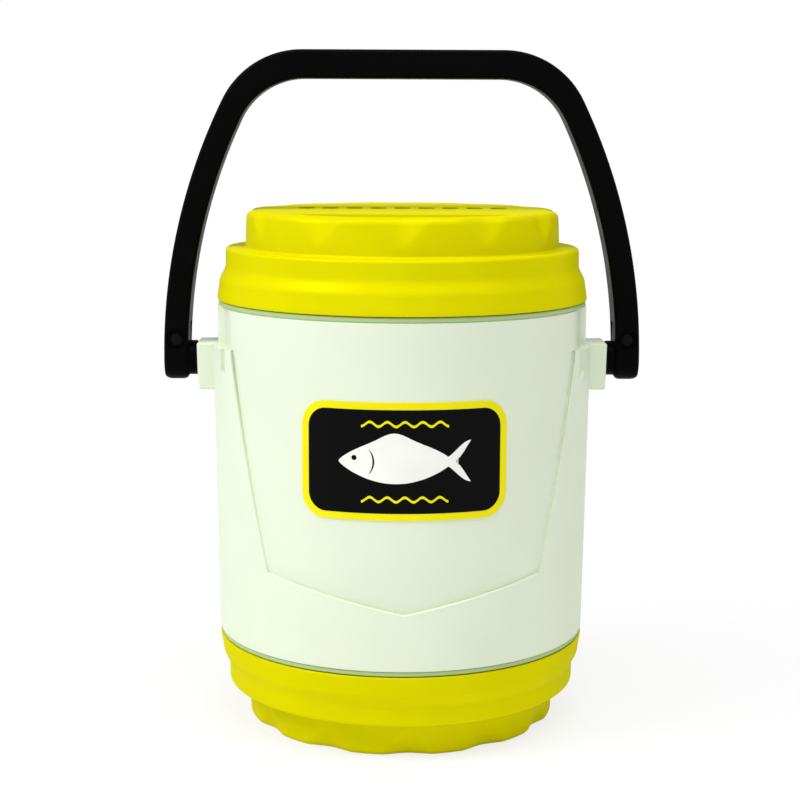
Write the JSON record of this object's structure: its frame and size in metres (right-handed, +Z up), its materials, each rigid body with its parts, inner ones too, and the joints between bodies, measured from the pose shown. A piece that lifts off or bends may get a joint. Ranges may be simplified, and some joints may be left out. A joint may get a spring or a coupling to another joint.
{
  "type": "insulated bait can",
  "caption": "Double-ended insulated live-bait can with two finger-fluted vented screw lids, side bosses and a swinging carry bail.",
  "frame": {"origin": "centre of the face the can stands on, at the bottom lid", "axes": "+Z up along the can axis, front label towards -Y, bail pivots along X"},
  "size_m": [0.1758, 0.1374, 0.2478],
  "materials": {
    "shell_plastic": "satin",
    "liner_plastic": "satin",
    "collar_plastic": "satin",
    "lid_plastic": "satin",
    "foam": "matte",
    "gasket_rubber": "matte",
    "screen_mesh": "matte",
    "handle_plastic": "satin",
    "steel": "satin",
    "rivet_steel": "gloss",
    "label_print": "satin"
  },
  "bodies": {
    "can": {"can_shell": "shell_plastic", "body_insulation": "foam", "inner_liner": "liner_plastic", "top_neck_ring": "collar_plastic", "bottom_neck_ring": "collar_plastic", "front_label": "label_print"},
    "handle": {"carry_handle": "handle_plastic", "pivot_stud_left": "handle_plastic", "pivot_stud_right": "handle_plastic", "pivot_clip_left": "steel", "pivot_clip_right": "steel", "handle_rivet_left": "rivet_steel", "handle_rivet_right": "rivet_steel"},
    "top_gasket": {"top_lid_gasket": "gasket_rubber"},
    "top_lid": {"top_lid_shell": "lid_plastic", "top_lid_insulation": "foam", "top_lid_liner": "liner_plastic", "top_vent_screen": "screen_mesh"},
    "bottom_gasket": {"bottom_lid_gasket": "gasket_rubber"},
    "bottom_lid": {"bottom_lid_shell": "lid_plastic", "bottom_lid_insulation": "foam", "bottom_lid_liner": "liner_plastic", "bottom_vent_screen": "screen_mesh"}
  },
  "joints": [
    {"name": "handle_swing", "type": "hinge", "parent": "can", "child": "handle", "pos_m": [0, 0, 0.135], "axis": [1, 0, 0], "range_deg": [-132, 132]},
    {"name": "top_lid_rise", "type": "slide", "parent": "can", "child": "top_gasket", "axis": [0, 0, 1], "range_m": [0, 0.0201]},
    {"name": "top_lid_turn", "type": "hinge", "parent": "top_gasket", "child": "top_lid", "pos_m": [0, 0, 0.174], "axis": [0, 0, 1], "range_deg": [0, 720]},
    {"name": "bottom_lid_drop", "type": "slide", "parent": "can", "child": "bottom_gasket", "axis": [0, 0, -1], "range_m": [0, 0.0201]},
    {"name": "bottom_lid_turn", "type": "hinge", "parent": "bottom_gasket", "child": "bottom_lid", "pos_m": [0, 0, 0.016], "axis": [0, 0, -1], "range_deg": [0, 720]}
  ],
  "couplings": [
    {"joint": "top_lid_rise", "follows": "top_lid_turn", "m_per_rad": 0.0015915},
    {"joint": "bottom_lid_drop", "follows": "bottom_lid_turn", "m_per_rad": 0.0015915}
  ]
}
